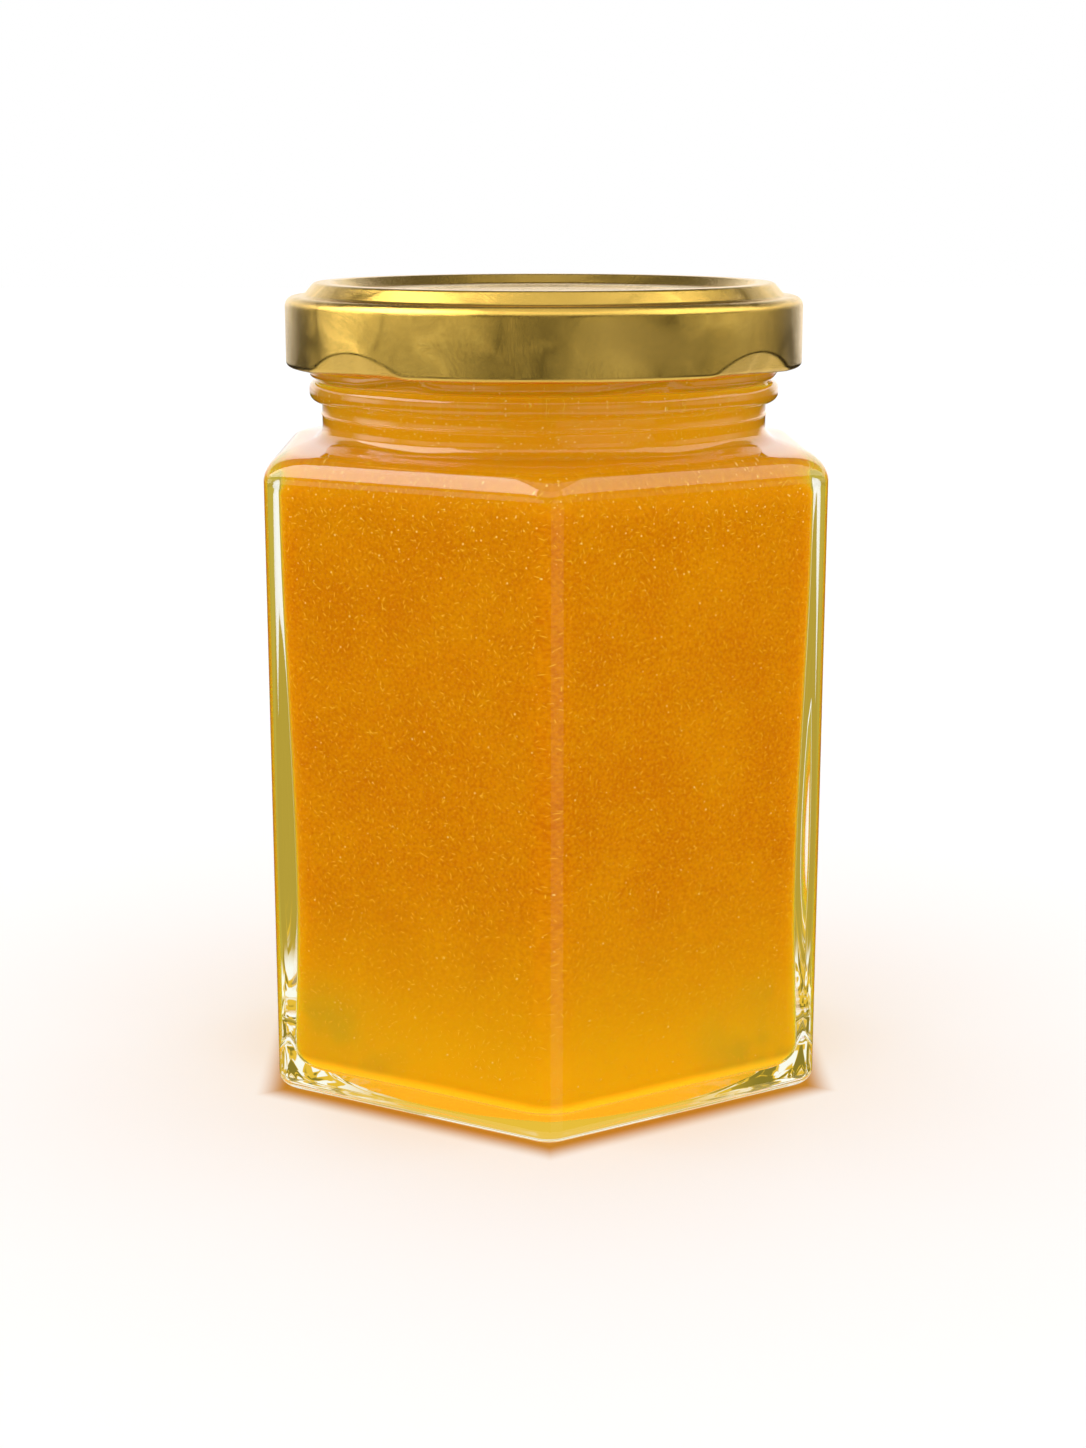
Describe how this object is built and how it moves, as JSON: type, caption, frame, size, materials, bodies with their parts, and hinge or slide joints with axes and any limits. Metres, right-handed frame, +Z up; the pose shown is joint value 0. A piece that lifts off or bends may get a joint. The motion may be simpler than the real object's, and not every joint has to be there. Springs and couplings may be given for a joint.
{
  "type": "honey jar",
  "caption": "Hexagonal glass jar of set golden honey, closed by a gold twist-off metal lid, standing upright.",
  "frame": {"origin": "centre of the base, on the surface that the jar stands on", "axes": "+Z up along the jar's axis, one upright corner of the hexagon along -Y, flat sides facing +X and -X"},
  "size_m": [0.0696, 0.0792, 0.1024],
  "materials": {
    "glass": "clear, smooth, moulded",
    "honey": "cloudy set honey with fine crystals",
    "gold_lid": "satin gold lacquer"
  },
  "bodies": {
    "root": {"glass_jar": "glass", "honey": "honey", "lid": "gold_lid"}
  },
  "joints": []
}
